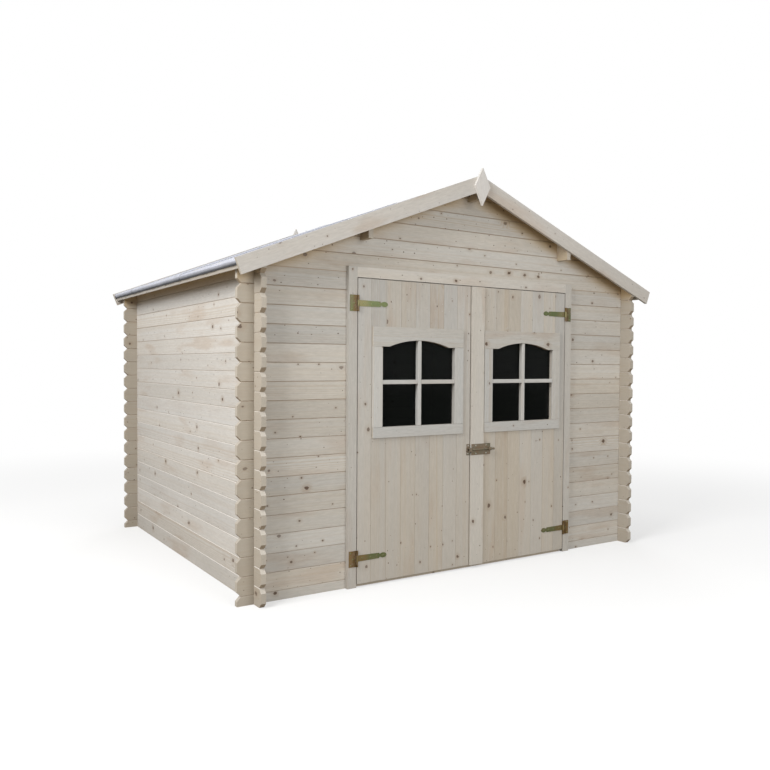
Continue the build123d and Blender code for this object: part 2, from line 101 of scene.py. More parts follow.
class ShedSizes(bpy.types.PropertyGroup):
    """Sizes of the boards, bars, felt and fasteners."""

    door_plank: length("Door plank", "Width of one plank of a door leaf", 0.1008)
    roof_plank: length("Roof plank", "Width of one board of the roof", 0.09675)
    plank_edge: length("Plank edge", "Width of the bevel along the edges of a plank", 0.0005)
    log_pitch: length("Log height", "Height of one row of logs", 0.1)
    worn_ends: length("Worn ends", "Length of the yellowed end of a log", 0.12)
    trim_edge: length("Trim edge", "Width of the bevel along the window trim", 0.0014)
    bar_edge: length("Bar edge", "Width of the bevel along the window bars", 0.003)
    bar_width: length("Window bar", "Width of the bars across a window", 0.024)
    bar_setback: length("Bar setback", "Depth of the bars behind the face of the trim", 0.002)
    bar_step: length("Bar step", "Depth of the level bar behind the upright one", 0.0004)
    bar_share: FloatProperty(
        name="Bar height", description="Place of the level bar between the sill and the top of the arch",
        default=0.515, min=0, max=1, subtype="FACTOR")
    glass_rebate: length("Glass rebate", "Width of glass hidden behind the trim", 0.012)
    arch_rise: length("Arch rise", "Height of the window's arch over its shoulders", 0.038)
    screw_radius: length("Screw head", "Radius of a screw head in the ironwork", 0.0042)
    nail_radius: length("Nail head", "Radius of a nail head in the boards", 0.0019)
    strip_nails: length("Strip nails", "Distance between the nails of the cover strip", 0.262)
    barge_nails: length("Barge nails", "Distance between the nails of a barge board", 0.235)
    felt_thickness: length("Felt thickness", "Thickness of the roofing felt", 0.0026)
    felt_lap: length("Felt lap", "Width of the lap of the middle felt over the others", 0.060)
    felt_bend: length("Felt bend", "Radius of the roll of felt over the eaves", 0.014)
    felt_drop: length("Felt drop", "Depth of the felt below its roll at the eaves", 0.015)
    felt_proud: length("Felt gap", "Distance of the felt's roll from the end of the boards", 0.0024)
    eased_share: FloatProperty(
        name="Eased corner", description="Part of the felt's roll by which the boards' corner is cut",
        default=0.46, min=0, max=1, subtype="FACTOR")
    clout_radius: length("Clout head", "Radius of a flat nail head in the felt", 0.0055)
    clout_spacing: length("Clout spacing", "Distance between the flat nails along the felt", 0.12)


class ShedColours(bpy.types.PropertyGroup):
    """Colours of the timber, felt, ironwork and floor, in linear light."""

    # Painted light: a paler, bluer copy of the front logs' colour, for the side walls' brighter, cooler light
    side_log_lit: colour("Side logs", "Planed face of the side walls' logs", (0.50, 0.482, 0.454))
    front_log: colour("Front logs", "Planed face of the front and back logs", (0.466, 0.449, 0.415))
    door: colour("Door planks", "Planed face of the door planks", (0.414, 0.400, 0.373))
    frame: colour("Door frame", "Casings and linings of the doorway", (0.412, 0.397, 0.367))
    trim: colour("Window trim", "Trim and bars of the windows", (0.459, 0.457, 0.438))
    barge: colour("Barge boards", "Barge boards and eave battens", (0.458, 0.443, 0.420))
    finial: colour("Finials", "Diamonds over the mitres of the barge boards", (0.55, 0.535, 0.515))
    purlin: colour("Purlins", "Purlins under the roof boards", (0.40, 0.325, 0.225))
    roof_board: colour("Roof boards", "Boards of the roof, seen from below", (0.47, 0.35, 0.20))
    end_grain: colour("End grain", "Sawn ends of the timber", (0.41, 0.37, 0.31))
    warm: colour("Warm tint", "Yellower heartwood in some of the boards", (0.455, 0.392, 0.305))
    late_wood: colour("Late wood", "Darker lines of the growth rings", (0.36, 0.27, 0.17))
    stain: colour("Brown stain", "Patches of pinkish brown along a board", (0.36, 0.275, 0.205))
    # Painted highlight: pale colour laid on the upward bevels of the logs, most on the lower logs
    painted_bevel_highlight: colour("Worn edges", "Paler wood along the upper edges of the logs", (0.70, 0.68, 0.64))
    # Painted shade: honey brown laid on the logs just under the roof, for the shade of the eaves
    eave_shade: colour("Under the eaves", "Honey tint of the logs under the roof", (0.43, 0.30, 0.145))
    # Painted shade: brown laid on faces that look down, strongest on sawn ends
    underside: colour("Undersides", "Browner wood on faces that look down", (0.20, 0.135, 0.07))
    halo: colour("Knot halo", "Brownish wood around a knot and in a joint", (0.27, 0.19, 0.12))
    knot: colour("Knot", "Dark heart of a knot", (0.075, 0.042, 0.024))
    felt: colour("Felt", "Mineral face of the roofing felt", (0.33, 0.34, 0.385))
    felt_grit: colour("Felt grit", "Palest grains of the felt", (0.62, 0.63, 0.64))
    # Painted shade: near black laid on the felt where it turns from facing up, as on the roll over the eaves
    felt_roll_shade: colour("Felt edge", "Felt where it is bent over the eaves", (0.045, 0.047, 0.05))
    bitumen: colour("Bitumen", "Bare cut edge of the felt", (0.03, 0.031, 0.033))
    zinc: colour("Hinge zinc", "Yellow passivated zinc of the hinges", (0.16, 0.163, 0.076))
    tarnish: colour("Tarnish", "Brown tarnish on the ironwork", (0.16, 0.11, 0.065))
    rust: colour("Rust", "Rust at the foot of the ironwork", (0.22, 0.125, 0.045))
    strap_root: colour("Strap root", "Browned zinc of a strap near its pin", (0.19, 0.155, 0.07))
    plate_root: colour("Plate root", "Browned zinc of a plate near its pin", (0.10, 0.06, 0.02))
    bolt: colour("Bolt zinc", "Dulled zinc of the bolt", (0.20, 0.16, 0.12))
    steel: colour("Nail steel", "Bright zinc of the screws and nails", (0.55, 0.54, 0.50))
    # Painted shade: near black for the cross in a screw head, made of low raised bars, not a hollow
    recess: colour("Screw recess", "Dark cross in a screw head", (0.05, 0.045, 0.04))
    # Painted shade: near black, partly opaque glass stands for the dark room seen through the panes
    glass: colour("Glass", "Dark glass of the windows", (0.006, 0.007, 0.0065))
    floor: colour("Floor", "Floor as the camera sees it", (0.84, 0.84, 0.835))
    floor_bounce: colour("Floor bounce", "Floor as it lights the shed", (0.33, 0.30, 0.26))


class ShedLight(bpy.types.PropertyGroup):
    """Power of the lamps and level of the sky."""

    left: power("Left lamp", "Power of the softbox on the left", 560)
    front: power("Front lamp", "Power of the softbox in front", 232)
    top: power("Top lamp", "Power of the softbox overhead", 220)
    back: power("Back lamp", "Power of the softbox behind", 260)
    sky: FloatProperty(
        name="Sky", description="Level of the sky's light on the shed", default=0.34, min=0, max=1,
        subtype="FACTOR")


def sizes():
    return bpy.context.scene.shed_sizes


def colours():
    return bpy.context.scene.shed_colours


# Places on the frame

surfaces = {}
IN_FRONT = -3.0
OUT_OF_REACH = -9.0


def strike(node, start, heading):
    """Where a straight line first meets a node, or None."""
    if node not in surfaces:
        data = nodes[node].data
        surfaces[node] = BVHTree.FromPolygons(
            [v.co for v in data.vertices], [p.vertices for p in data.polygons])
    return surfaces[node].ray_cast(Vector(start), heading)[0]


def edge(node, axis, end):
    """Low (0) or high (1) end of a node along an axis."""
    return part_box(node)[end]["XYZ".index(axis)]


def spread(low, high, inset, count):
    """Evenly spaced places from one end to the other, set in from both."""
    return [low + inset + n * (high - low - 2 * inset) / (count - 1) for n in range(count)]


def roof_slope(side):
    """Unit vectors down one slope of the roof and square out of it."""
    corners = [v.co for v in nodes["left_roof_boards"].data.vertices]
    top = max(corners, key=lambda c: (round(c.z, 5), c.x))
    bottom = min(corners, key=lambda c: (round(c.x, 5), -c.z))
    fall = bottom - top
    fall.y = 0
    fall.normalize()
    return Vector((-side * fall.x, 0, fall.z)), Vector((side * -fall.z, 0, abs(fall.x)))


def roof_line():
    """Height of the underside of the roof boards at the middle, and their fall per metre."""
    down, out = roof_slope(1)
    under = min(out.dot(v.co) for v in nodes["right_roof_boards"].data.vertices)
    return under / out.z, -down.z / down.x


# Shader maths

class Value:
    """One socket of a shader tree, so that sums on it read as plain expressions."""

    def __init__(self, finish, socket):
        self.finish = finish
        self.socket = socket

    def other(self, name):
        return Value(self.finish, self.socket.node.outputs[name])

    def sum(self, operation, *others):
        return self.finish.sum(operation, self, *others)

    def __add__(self, other):
        return self.sum("ADD", other)

    __radd__ = __add__

    def __mul__(self, other):
        return self.sum("MULTIPLY", other)

    __rmul__ = __mul__

    def __sub__(self, other):
        return self.sum("SUBTRACT", other)

    def __rsub__(self, other):
        return self.finish.sum("SUBTRACT", other, self)

    def __truediv__(self, other):
        return self.sum("DIVIDE", other)

    def __rtruediv__(self, other):
        return self.finish.sum("DIVIDE", other, self)

    def __pow__(self, other):
        return self.sum("POWER", other)

    def __rpow__(self, other):
        return self.finish.sum("POWER", other, self)

    def __gt__(self, other):
        return self.sum("GREATER_THAN", other)

    def __lt__(self, other):
        return self.sum("LESS_THAN", other)

    def __abs__(self):
        return self.sum("ABSOLUTE")

    def floor(self):
        return self.sum("FLOOR")


class Finish:
    """The shader tree of a material, or of the sky, being built node by node."""

    def __init__(self, owner):
        owner.use_nodes = True
        self.owner = owner
        self.tree = owner.node_tree
        self.tree.nodes.clear()

    def node(self, kind, settings=None, sockets=None, output=0):
        """Adds a node: its settings first, then the values or links of its sockets."""
        made = self.tree.nodes.new(kind)
        for key, setting in (settings or {}).items():
            setattr(made, key, setting)
        for key, value in (sockets or {}).items():
            socket = made.inputs[key]
            if isinstance(value, Value):
                self.tree.links.new(value.socket, socket)
            elif socket.type == "RGBA":
                socket.default_value = (*value, 1)
            else:
                socket.default_value = value
        return Value(self, made.outputs[output]) if made.outputs else None

    def sum(self, operation, *values):
        return self.node("ShaderNodeMath", {"operation": operation}, dict(enumerate(values)))

    def place(self):
        return self.node("ShaderNodeTexCoord", output="Object")

    def along(self, vector, axis):
        return self.node(
            "ShaderNodeVectorMath", {"operation": "DOT_PRODUCT"}, {0: vector, 1: tuple(axis)}, output="Value")

    def vector(self, x, y, z=0.0):
        return self.node("ShaderNodeCombineXYZ", sockets={0: x, 1: y, 2: z})

    def parts(self, vector):
        x = self.node("ShaderNodeSeparateXYZ", sockets={0: vector})
        return x, x.other("Y"), x.other("Z")

    def noise(self, vector, scale=1.0, detail=2.0, roughness=0.5):
        return self.node("ShaderNodeTexNoise", sockets={
            "Vector": vector, "Scale": scale, "Detail": detail, "Roughness": roughness})

    def cells(self, vector, scale, dimensions="2D"):
        return self.node(
            "ShaderNodeTexVoronoi", {"voronoi_dimensions": dimensions}, {"Vector": vector, "Scale": scale},
            output="Distance")

    def lot(self, number):
        """Three random numbers that stay the same for one number."""
        drawn = self.node(
            "ShaderNodeTexWhiteNoise", {"noise_dimensions": "1D"}, {"W": number}, output="Color")
        return self.parts(drawn)

    def fade(self, value, low, high):
        """0 below low, 1 above high, smooth between."""
        return self.node(
            "ShaderNodeMapRange", {"interpolation_type": "SMOOTHSTEP", "clamp": True},
            {"Value": value, "From Min": low, "From Max": high})

    def mix(self, amount, first, second):
        return self.node(
            "ShaderNodeMix", {"data_type": "RGBA", "clamp_factor": True}, {0: amount, 6: first, 7: second},
            output=2)

    def shade(self, tint, amount):
        return self.node(
            "ShaderNodeVectorMath", {"operation": "SCALE"}, {0: tint, "Scale": amount})

    def bump(self, height, strength, depth):
        return self.node(
            "ShaderNodeBump", sockets={"Height": height, "Strength": strength, "Distance": depth})

    def surface(self, **sockets):
        named = {key.replace("_", " "): value for key, value in sockets.items()}
        return self.close(self.node("ShaderNodeBsdfPrincipled", sockets=named))

    def close(self, body, kind="ShaderNodeOutputMaterial"):
        self.node(kind, sockets={"Surface": body})
        return self.owner


class BoardPlace:
    """Where a point lies on its own board, and three random numbers that go with the board."""

    def __init__(self, f, grain, width, pitch, start, seed):
        wall_cell = 0.5
        place = f.place()
        self.f = f
        self.place = place
        self.facing = place.other("Normal")
        self.length = f.along(place, grain)
        self.width = f.along(place, width)
        self.depth = f.along(place, grain.cross(width))
        board = ((self.width - start) / pitch).floor()
        wall = (self.depth / wall_cell).floor()
        self.luck = f.lot(board * 3.17 + wall * 11.3 + seed)
        self.across = self.width - start - (board + 0.5) * pitch
        self.inside = self.depth - (wall + 0.5) * wall_cell
        self.run = self.length + self.luck[0] * 40

    def noise(self, along, across, detail=2.0, roughness=0.5):
        """Noise drawn out along the grain."""
        drawn = self.f.vector(self.run * along, self.width * across, self.depth * across)
        return self.f.noise(drawn, detail=detail, roughness=roughness)


def knot_masks(f, at, knots):
    """Masks of the large knots, the wood round them and the small knots, with how dark each kind is."""
    _, luck_b, luck_c = at.luck
    cell, small_cell = 0.105, 0.055
    far = f.cells(f.vector(at.run * 0.8, at.width + luck_b * 7), 1 / cell)
    pick, size, dark = f.parts(far.other("Color"))
    reach = (size ** 3 * 0.0090 + 0.0040) * (1 / cell)
    here = pick > (1 - 0.27 * knots)
    far = far + (at.noise(55, 90) - 0.5) * reach * 1.1
    knot = here * (1 - f.fade(far, reach * 0.7, reach * 1.05))
    halo = here * (1 - f.fade(far, reach * 0.8, reach * 3.4))

    near = f.cells(f.vector(at.run * 0.7, at.width + luck_c * 5), 1 / small_cell)
    pick, size, dark_small = f.parts(near.other("Color"))
    reach = (size * size * 0.0024 + 0.0015) * (1 / small_cell)
    crowd = f.fade(f.noise(f.vector(at.run * 1.7, at.width * 1.7 + luck_b * 3)), 0.38, 0.66)
    speck = (pick > (1 - 0.72 * knots * crowd)) * (1 - f.fade(near, reach * 0.6, reach * 1.25))
    return knot, halo, speck, dark, dark_small


def late_wood(f, at, halo):
    """Growth rings round a pith that lies behind the face and wanders along the board."""
    luck_a, luck_b, luck_c = at.luck
    ring_width = 0.0042
    bend = at.noise(0.8, 4) - 0.5
    off_centre = at.across - (luck_b - 0.5) * 0.10 + bend * 0.05
    off_depth = at.inside - (luck_c - 0.5) * 0.06
    radius = (off_centre * off_centre + off_depth * off_depth) ** 0.5 + halo * 0.006
    turns = radius / ring_width
    uneven = f.noise(f.vector(turns * 0.31, luck_a * 9)) * 2.4
    rings = ((turns + uneven) * (2 * math.pi)).sum("SINE") * 0.5 + 0.5
    return rings ** 2.5


def timber(name, tint, grain, width, pitch=1.0, start=-0.5, seed=0.0, knots=1.0, warmth=0.5, seam=0.0,
           patchy=0.35, worn_ends=0.0, foot=0.0, eave=None, bevel_highlight=0.0):
    """Planed spruce with its grain along one axis, cut into boards of one pitch across another.

    knots and warmth say how many knots and how much yellow wood there is. seam darkens the joints, and patchy
    lets some of them fade. worn_ends is where the yellowed ends of a log begin, foot the height below which a
    plank is browner, eave the line of the roof over a wall, under which painted shade in honey brown is laid,
    and bevel_highlight the strength of a painted highlight on the upper bevels. Faces that look down get
    painted shade.
    """
    c = colours()
    f = Finish(bpy.data.materials.new(name))
    at = BoardPlace(f, grain, width, pitch, start, seed)
    luck_a, luck_b, luck_c = at.luck
    knot, halo, speck, dark, dark_small = knot_masks(f, at, knots)
    late = late_wood(f, at, halo)
    fibre = at.noise(5, 330, 3.0)
    fleck = at.noise(22, 120, 3.0, 0.65)
    streak = at.noise(0.55, 13, 3.0)
    patch = at.noise(0.9, 2.2)
    stain = f.fade(f.noise(f.vector(at.run * 2.1, at.width * 10, luck_c * 5)), 0.54, 0.70)

    face = f.mix(f.fade(streak * 0.6 + luck_a * 0.4, 0.36, 0.78) * warmth, tint, c.warm)
    face = f.mix(late * (0.10 + 0.32 * luck_b ** 4), face, c.late_wood)
    face = f.mix(stain * (0.10 + 0.35 * luck_a), face, c.stain)
    uneven = (luck_c - 0.5) * 0.15 + (patch - 0.5) * 0.20 + (fibre - 0.5) * 0.18 + (fleck - 0.5) * 0.34
    face = f.shade(face, 1.0 + uneven)
    if worn_ends:
        tip = f.fade(abs(at.length), worn_ends, worn_ends + 0.03)
        face = f.shade(f.mix(tip * 0.68, face, c.warm), 1 - tip * 0.20)
    if foot:
        face = f.mix((1 - f.fade(at.length, foot * 0.25, foot)) * 0.30, face, c.warm)
    # Painted shade: honey brown mixed in on the logs near the roof line, for the shade under the eaves
    if eave:
        crest, fall = eave
        under = f.along(at.place, Z) + abs(f.along(at.place, X)) * fall + (streak - 0.5) * 0.05
        face = f.mix(f.fade(under, crest - 0.15, crest - 0.03) * 0.80, face, c.eave_shade)
    face = f.mix(halo * (0.12 + 0.30 * dark), face, c.halo)
    face = f.mix(knot * (0.60 + 0.38 * dark), face, c.knot)
    face = f.mix(speck * (0.58 + 0.40 * dark_small), face, c.knot)

    # Sawn ends are rougher and browner than the face, with rings as arcs; downward faces get painted shade
    end = f.fade(abs(f.along(at.facing, grain)), 0.55, 0.80)
    sawn = f.noise(f.vector(at.length * 60, at.width * 420, at.depth * 60))
    face = f.mix(end, face, f.shade(c.end_grain, 0.84 + sawn * 0.20 + luck_b * 0.14 - late * 0.14))
    upward = f.along(at.facing, Z)
    below = f.fade(upward * -1, 0.30, 0.70)
    face = f.mix(below * (0.10 + end * 0.65), face, c.underside)
    if seam:
        joint = 1 - f.fade(pitch / 2 - abs(at.across), 0.0006, 0.0042)
        face = f.mix(joint * (1 - end) * (1 - patchy + patchy * luck_b * luck_b) * seam, face, c.halo)
    # Painted highlight: pale colour on faces that look up, most on the lower logs, not on sawn ends
    if bevel_highlight:
        low_down = 1 - 0.6 * f.fade(f.along(at.place, Z), 0.8, 1.5)
        face = f.mix(f.fade(upward, 0.30, 0.60) * (1 - end) * low_down * bevel_highlight, face, c.painted_bevel_highlight)

    height = fibre * 0.55 - late * 0.35 - knot * 0.6 + sawn * end * 1.2
    rough = 0.60 + (fibre - 0.5) * 0.18 - knot * 0.12 + end * 0.16
    return f.surface(
        Base_Color=face, Roughness=rough, Normal=f.bump(height, 0.35, 0.0006), Specular_IOR_Level=0.32)


def felt_finish(name, foot):
    """Mineral felt, with bare bitumen along its cut edge at its foot and painted shade where it turns from
    up.
    """
    c = colours()
    f = Finish(bpy.data.materials.new(name))
    place = f.place()
    upward = f.along(place.other("Normal"), Z)
    height_at = f.along(place, Z)
    grit = f.cells(place, 520.0, "3D")
    grain, _, pale = f.parts(grit.other("Color"))
    cloud = f.noise(place, 3.2, 4.0, 0.6)
    streak = f.noise(f.vector(f.along(place, X) * 1.5, f.along(place, Y) * 22, height_at * 1.5), 1.0, 3.0)
    face = f.mix(grain * 0.65, c.felt, [v * 1.9 for v in c.felt])
    face = f.mix((pale > 0.86) * 0.6, face, c.felt_grit)
    face = f.shade(face, 0.62 + cloud * 0.5 + streak * 0.28)
    # Painted shade: felt facing away from straight up darkens toward near black, as on the roll over the
    # eaves
    face = f.mix((1 - f.fade(upward, -0.15, 0.35)) * 0.35, face, c.felt_roll_shade)
    face = f.mix((1 - f.fade(height_at, foot + 0.004, foot + 0.015)) * 0.85, face, c.bitumen)
    height = grain * 0.7 - grit * 0.6 + cloud * 0.4
    return f.surface(
        Base_Color=face, Roughness=0.86 + grain * 0.1, Normal=f.bump(height, 0.7, 0.0012),
        Specular_IOR_Level=0.25)


def metal_finish(name, tint, worn, rough, root=None):
    """Zinc with brown tarnish.

    root says where a hinge starts to brown and where it is brownest, with the stain and its strength.
    """
    c = colours()
    f = Finish(bpy.data.materials.new(name))
    place = f.place()
    cloud = f.noise(place, 26.0, 5.0, 0.62)
    spots = f.noise(place, 190.0, 3.0, 0.6)
    tones = f.noise(place, 9.0, 3.0, 0.55)
    brown = f.fade(cloud * 0.65 + spots * 0.35, 0.62 - worn, 0.74 - worn)
    face = f.mix(f.fade(tones, 0.35, 0.65), tint, (tint[0] * 0.72, tint[1] * 0.84, tint[2] * 0.75))
    if root:
        start, stop, stain, amount = root
        low_down = 1 - f.fade(f.along(place, Z), 0.4, 1.0)
        across = abs(f.along(place, X)) + (cloud - 0.5) * 0.03
        face = f.mix(low_down * f.fade(across, 0.70, 0.77) * 0.80, face, c.rust)
        face = f.mix(f.fade(across, start, stop) * amount, face, stain)
    face = f.mix(brown, face, c.tarnish)
    face = f.shade(face, 0.82 + spots * 0.36)
    height = brown * 0.4 + spots * 0.6
    return f.surface(
        Base_Color=face, Metallic=0.72 - brown * 0.5, Roughness=rough + brown * 0.28 + (spots - 0.5) * 0.16,
        Normal=f.bump(height, 0.25, 0.0004))


def glass_finish(name):
    """Glass painted near black and partly opaque, as shade of the room behind, with a faint film of dust and
    smears.
    """
    f = Finish(bpy.data.materials.new(name))
    place = f.place()
    smear = f.noise(place, 7.0, 4.0, 0.6)
    dust = f.noise(place, 160.0, 2.0, 0.6)
    film = f.fade(smear, 0.45, 0.8) * 0.05 + f.fade(dust, 0.6, 0.8) * 0.03
    # Painted shade: the near-black base colour at two-thirds opacity stands for the dark room behind
    return f.surface(
        Base_Color=colours().glass, Roughness=0.05 + film, Alpha=0.66 + film, IOR=1.45,
        Specular_IOR_Level=0.07)


# Making of pieces

def mesh_piece(name, shell, body, slot, *finishes, bevel=0.0):
    """Makes an object of a finished shell and puts it on its body."""
    mesh = bpy.data.meshes.new(name)
    shell.normal_update()
    shell.to_mesh(mesh)
    shell.free()
    made = bpy.data.objects.new(name, mesh)
    bpy.context.scene.collection.objects.link(made)
    for finish in finishes:
        mesh.materials.append(finish)
    if bevel:
        rounding = made.modifiers.new("Eased edges", "BEVEL")
        rounding.width = bevel
        rounding.segments = 2
        rounding.limit_method = "ANGLE"
        rounding.angle_limit = math.radians(35)
    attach(made, body)
    return made


def give(finish, *names):
    """Gives CAD nodes a finish."""
    for name in names:
        data = nodes[name].data
        data.materials.clear()
        data.materials.append(finish)


def node_shell(node):
    """A clean, joined copy of a node's surface."""
    shell = bmesh.new()
    shell.from_mesh(nodes[node].data)
    bmesh.ops.remove_doubles(shell, verts=shell.verts, dist=1e-5)
    bmesh.ops.dissolve_limit(
        shell, angle_limit=0.01, verts=shell.verts, edges=shell.edges, use_dissolve_boundaries=False)
    return shell


def slice_between(shell, axis, low, high):
    """Cuts a copy of a closed shell down to the part between two planes."""
    part = shell.copy()
    for place, outward in ((low, -axis), (high, axis)):
        cut = bmesh.ops.bisect_plane(
            part, geom=part.verts[:] + part.edges[:] + part.faces[:], dist=1e-6, plane_co=axis * place,
            plane_no=outward, clear_outer=True)
        rim = [item for item in cut["geom_cut"] if isinstance(item, bmesh.types.BMEdge)]
        if rim:
            bmesh.ops.holes_fill(part, edges=rim, sides=0)
    if not part.faces:
        raise RuntimeError("a board came out empty")
    return part


def gather(whole, part):
    """Adds one shell to another and frees it."""
    mesh = bpy.data.meshes.new("part")
    part.to_mesh(mesh)
    part.free()
    whole.from_mesh(mesh)
    bpy.data.meshes.remove(mesh)


def into_boards(node, axis, first, width):
    """Splits a node across an axis into boards of one width, counted from one joint, as one shell."""
    whole = node_shell(node)
    low, high = (axis.dot(corner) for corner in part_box(node))
    narrowest = 0.01
    joints = [first + n * width for n in range(-40, 41)]
    joints = [j for j in joints if low + narrowest < j < high - narrowest]
    joints = [low - JOINT_GAP] + joints + [high + JOINT_GAP]
    boards = bmesh.new()
    for start, stop in zip(joints, joints[1:]):
        gather(boards, slice_between(whole, axis, start + JOINT_GAP, stop - JOINT_GAP))
    whole.free()
    bmesh.ops.recalc_face_normals(boards, faces=boards.faces)
    return boards


def block(shell, low, high):
    """Adds a box between two corners."""
    low, high = Vector(low), Vector(high)
    bmesh.ops.create_cube(
        shell, size=1, matrix=Matrix.Translation((low + high) / 2) @ Matrix.Diagonal((*(high - low), 1)))


def fastener(shell, place, outward, radius, height, cross=False):
    """Adds a domed head, with a cross of low near-black bars, painted shade for a sunken cross, where it is a
    screw.
    """
    seat = Matrix.Translation(place) @ outward.to_track_quat("Z", "Y").to_matrix().to_4x4()
    around = 14
    rows = []
    for size, rise in ((1.0, -0.15), (1.0, 0.35), (0.82, 0.75), (0.48, 0.97)):
        row = []
        for n in range(around):
            turn = 2 * math.pi * n / around
            row.append(shell.verts.new(seat @ Vector((
                radius * size * math.cos(turn), radius * size * math.sin(turn), height * rise))))
        rows.append(row)
    for lower, upper in zip(rows, rows[1:]):
        for n in range(around):
            shell.faces.new((lower[n], lower[(n + 1) % around], upper[(n + 1) % around], upper[n]))
    tip = shell.verts.new(seat @ Vector((0, 0, height)))
    for n in range(around):
        shell.faces.new((rows[-1][n], rows[-1][(n + 1) % around], tip))
    shell.faces.new(list(reversed(rows[0])))
    # Painted shade: the cross is low raised bars in a near-black finish, standing for a shaded hollow
    if cross:
        arm, half, flat = radius * 1.24, radius * 0.26, height * 0.34
        centre = seat @ Matrix.Translation((0, 0, height * 0.85))
        for long, wide in ((arm, half), (half, arm)):
            made = bmesh.ops.create_cube(
                shell, size=1, matrix=centre @ Matrix.Diagonal((long, wide, flat, 1)))
            for face in {face for corner in made["verts"] for face in corner.link_faces}:
                face.material_index = 1


def fasteners(name, body, slot, finish, places, outward, radius, height, cross=False):
    shell = bmesh.new()
    for place in places:
        fastener(shell, Vector(place), outward, radius, height, cross)
    return mesh_piece(
        name, shell, body, slot, bpy.data.materials[finish], bpy.data.materials["recess"])


# Steps

class MixMetals(bpy.types.Operator):
    """Makes the finishes that the fasteners share"""
    bl_idname = "shed.mix_metals"
    bl_label = "Mix the fastener finishes"

    def execute(self, context):
        c = colours()
        metal_finish("screws", [v * 1.5 for v in c.zinc], worn=-0.05, rough=0.32)
        metal_finish("bolt_screws", c.steel, worn=0.10, rough=0.4)
        metal_finish("nails", c.steel, worn=0.12, rough=0.5)
        metal_finish("clouts", c.steel, worn=0.04, rough=0.45)
        # Painted shade: near black for the crosses in the screw heads
        metal_finish("recess", c.recess, worn=0.0, rough=0.7)
        return {"FINISHED"}


class FinishLogs(bpy.types.Operator):
    """Gives the walls and gables their planed and sawn timber"""
    bl_idname = "shed.finish_logs"
    bl_label = "Finish the logs"

    def execute(self, context):
        c, s = colours(), sizes()
        # Painted light: the side walls take the paler, bluer side-log colour, a lit copy of the logs' colour
        side = timber(
            "side_logs", c.side_log_lit, Y, Z, pitch=s.log_pitch, start=0.0, seed=3.0, knots=0.8, warmth=0.22,
            seam=0.60, worn_ends=edge("left_wall", "Y", 1) - s.worn_ends, eave=roof_line(), bevel_highlight=0.72)
        front = timber(
            "front_logs", c.front_log, X, Z, pitch=s.log_pitch, start=s.log_pitch / 2, seed=9.0, knots=1.3,
            warmth=0.38, seam=0.75, worn_ends=edge("back_wall", "X", 1) - s.worn_ends, eave=roof_line(),
            bevel_highlight=0.22)
        give(side, "left_wall", "right_wall")
        give(front, "back_wall", "back_gable", "front_wall_left", "front_wall_right", "front_gable")
        return {"FINISHED"}


class FinishRoofTimber(bpy.types.Operator):
    """Gives the purlins, battens, barge boards and finials their timber"""
    bl_idname = "shed.finish_roof_timber"
    bl_label = "Finish the roof timber"

    def execute(self, context):
        c = colours()
        give(timber("purlins", c.purlin, Y, Z, seed=5.0), "ridge_purlin", "left_purlin", "right_purlin")
        give(timber("battens", c.barge, Y, Z, seed=6.0), "left_eave_batten", "right_eave_batten")
        finial = timber("finials", c.finial, Z, X, seed=7.0, knots=0.3, warmth=0.1)
        give(finial, "front_finial", "back_finial")
        for side, sign in SIDES.items():
            down, out = roof_slope(sign)
            barge = timber(
                "barge_" + side, c.barge, down, out, pitch=9.0, start=-4.5, seed=8.0 + sign, knots=1.3,
                warmth=0.25)
            give(barge, "front_barge_" + side, "back_barge_" + side)
        return {"FINISHED"}


class LayRoofBoards(bpy.types.Operator):
    """Splits each slope into separate roof boards, eased at the eaves where the felt bends round them"""
    bl_idname = "shed.lay_roof_boards"
    bl_label = "Lay the roof boards"

    def execute(self, context):
        c, s = colours(), sizes()
        for side, sign in SIDES.items():
            node = side + "_roof_boards"
            first = edge(node, "Y", 0)
            down, out = roof_slope(sign)
            finish = timber(
                "roof_planks_" + side, c.roof_board, down, Y, pitch=s.roof_plank, start=first,
                seed=15.0 + sign, knots=1.2, seam=0.5)
            whole = into_boards(node, Y, first, s.roof_plank)
            corner = (down + out).normalized()
            eased = max(corner.dot(v.co) for v in whole.verts) - s.felt_bend * s.eased_share
            eave = slice_between(whole, corner, OUT_OF_REACH, eased)
            whole.free()
            boards = mesh_piece(
                side + "_roof_planks", eave, "shed", "roof_board", finish, bevel=s.plank_edge)
            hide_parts(node)
        return {"FINISHED"}


